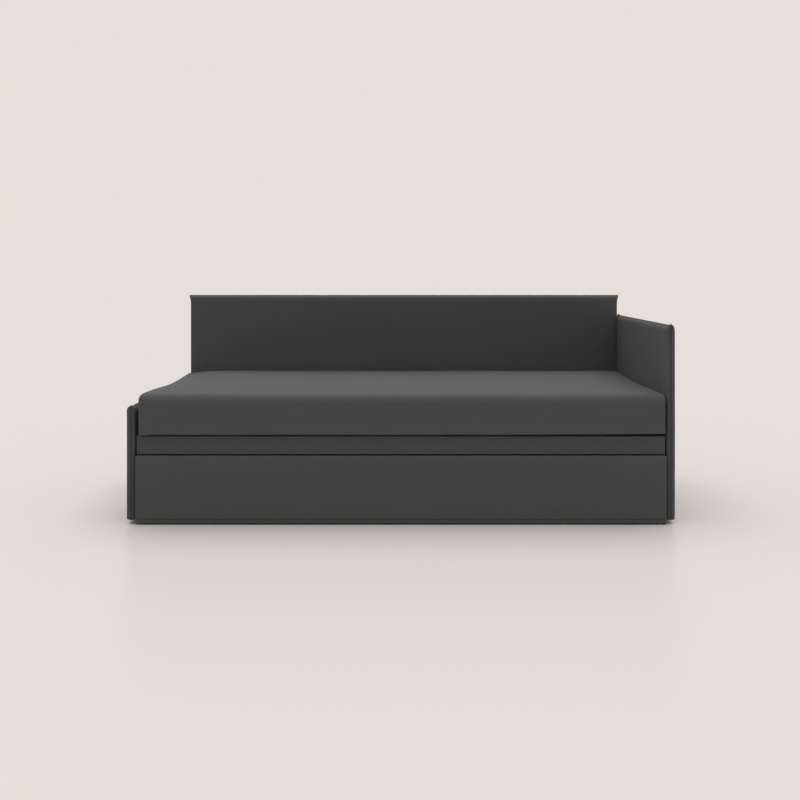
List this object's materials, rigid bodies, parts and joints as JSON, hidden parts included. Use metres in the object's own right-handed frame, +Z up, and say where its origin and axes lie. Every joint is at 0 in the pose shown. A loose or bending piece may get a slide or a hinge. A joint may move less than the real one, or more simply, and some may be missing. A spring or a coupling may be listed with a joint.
{
  "type": "sofa to bunk bed",
  "caption": "Upholstered daybed sofa with a low side, a tall armrest and a back, an upper bed on a scissor lift and a lower bed that rolls out below it.",
  "frame": {"origin": "centre of the bounding box, on the floor", "axes": "+X along the sofa to the tall armrest, -Y to the front, +Z up"},
  "size_m": [1.979, 0.866, 0.807],
  "materials": {
    "charcoal_fabric": "matte fine weave, charcoal",
    "ticking": "quilted light grey mattress ticking",
    "board": "raw plywood",
    "beech": "clear lacquered laminated beech",
    "black_steel": "fine textured black powder coat",
    "zinc_steel": "bright zinc plate",
    "nylon": "black moulded nylon",
    "rubber": "black moulded rubber",
    "castor_tread": "dark grey castor plastic"
  },
  "bodies": {
    "base": {"armrest_cover": "charcoal_fabric", "armrest_board": "board", "low_side_cover": "charcoal_fabric", "low_side_board": "board", "back_cover": "charcoal_fabric", "back_board": "board", "corner_batten": "board", "floor_glides": "nylon", "lower_track_left": "black_steel", "lower_track_right": "black_steel", "track_stops": "rubber", "pivot_brackets": "black_steel", "rear_rest_brackets": "black_steel", "front_rest_brackets": "black_steel", "rest_pads": "rubber", "corner_brackets": "black_steel", "base_bolts": "zinc_steel"},
    "base_arms": {"base_arm_left": "black_steel", "base_arm_right": "black_steel", "torsion_tube": "black_steel", "pivot_bushes": "nylon", "crossing_rivets": "zinc_steel", "arm_washers": "zinc_steel"},
    "bed_arms": {"bed_arm_left": "black_steel", "bed_arm_right": "black_steel", "bed_cross_tube": "black_steel"},
    "upper_shoes": {"upper_slide_shoes": "nylon"},
    "lower_shoes": {"lower_slide_shoes": "nylon"},
    "upper_bed": {"upper_front_rail": "black_steel", "upper_rear_rail": "black_steel", "upper_cross_rails": "black_steel", "end_channel_left": "black_steel", "end_channel_right": "black_steel", "channel_stops": "rubber", "bearing_rings": "black_steel", "ring_bushes": "nylon", "upper_slats": "beech", "upper_slat_holders": "nylon", "border_strip_cover": "charcoal_fabric", "border_strip_board": "board", "border_strip_bolts": "zinc_steel", "upper_mattress": "charcoal_fabric"},
    "lower_bed": {"lower_front_rail": "black_steel", "lower_rear_rail": "black_steel", "lower_end_rails": "black_steel", "lower_cross_rails": "black_steel", "lower_slats": "beech", "lower_slat_holders": "nylon", "front_panel_cover": "charcoal_fabric", "front_panel_board": "board", "front_panel_braces": "black_steel", "front_panel_bolts": "zinc_steel", "castor_forks": "zinc_steel", "castor_axles": "zinc_steel", "rear_buffers": "rubber", "lower_mattress": "ticking"},
    "wheel_front_left": {"wheel_front_left": "castor_tread"},
    "wheel_rear_left": {"wheel_rear_left": "castor_tread"},
    "wheel_front_right": {"wheel_front_right": "castor_tread"},
    "wheel_rear_right": {"wheel_rear_right": "castor_tread"}
  },
  "joints": [
    {"name": "lift", "type": "hinge", "parent": "base", "child": "base_arms", "pos_m": [0, 0.376, 0.175], "axis": [-1, 0, 0], "range_deg": [0, 48.48]},
    {"name": "arm_crossing", "type": "hinge", "parent": "base_arms", "child": "bed_arms", "pos_m": [0, 0, 0.23], "axis": [-1, 0, 0], "range_deg": [-96.96, 0]},
    {"name": "bed_pivot", "type": "hinge", "parent": "bed_arms", "child": "upper_bed", "pos_m": [0, 0.376, 0.285], "axis": [-1, 0, 0], "range_deg": [0, 48.48]},
    {"name": "upper_shoe_pivot", "type": "hinge", "parent": "base_arms", "child": "upper_shoes", "pos_m": [0, -0.376, 0.285], "axis": [-1, 0, 0], "range_deg": [-48.48, 0]},
    {"name": "lower_shoe_pivot", "type": "hinge", "parent": "bed_arms", "child": "lower_shoes", "pos_m": [0, -0.376, 0.175], "axis": [-1, 0, 0], "range_deg": [0, 48.48]},
    {"name": "pull_out", "type": "slide", "parent": "base", "child": "lower_bed", "axis": [0, -1, 0], "range_m": [0, 0.78]},
    {"name": "wheel_front_left_spin", "type": "hinge", "parent": "lower_bed", "child": "wheel_front_left", "pos_m": [-0.869, -0.374, 0.0225], "axis": [1, 0, 0], "continuous": true},
    {"name": "wheel_rear_left_spin", "type": "hinge", "parent": "lower_bed", "child": "wheel_rear_left", "pos_m": [-0.869, 0.324, 0.0225], "axis": [1, 0, 0], "continuous": true},
    {"name": "wheel_front_right_spin", "type": "hinge", "parent": "lower_bed", "child": "wheel_front_right", "pos_m": [0.869, -0.374, 0.0225], "axis": [1, 0, 0], "continuous": true},
    {"name": "wheel_rear_right_spin", "type": "hinge", "parent": "lower_bed", "child": "wheel_rear_right", "pos_m": [0.869, 0.324, 0.0225], "axis": [1, 0, 0], "continuous": true}
  ],
  "couplings": [
    {"joint": "arm_crossing", "follows": "lift", "ratio": -2},
    {"joint": "bed_pivot", "follows": "lift", "ratio": 1},
    {"joint": "upper_shoe_pivot", "follows": "lift", "ratio": -1},
    {"joint": "lower_shoe_pivot", "follows": "lift", "ratio": 1},
    {"joint": "wheel_front_left_spin", "follows": "pull_out", "rad_per_m": 44.444},
    {"joint": "wheel_rear_left_spin", "follows": "pull_out", "rad_per_m": 44.444},
    {"joint": "wheel_front_right_spin", "follows": "pull_out", "rad_per_m": 44.444},
    {"joint": "wheel_rear_right_spin", "follows": "pull_out", "rad_per_m": 44.444}
  ]
}
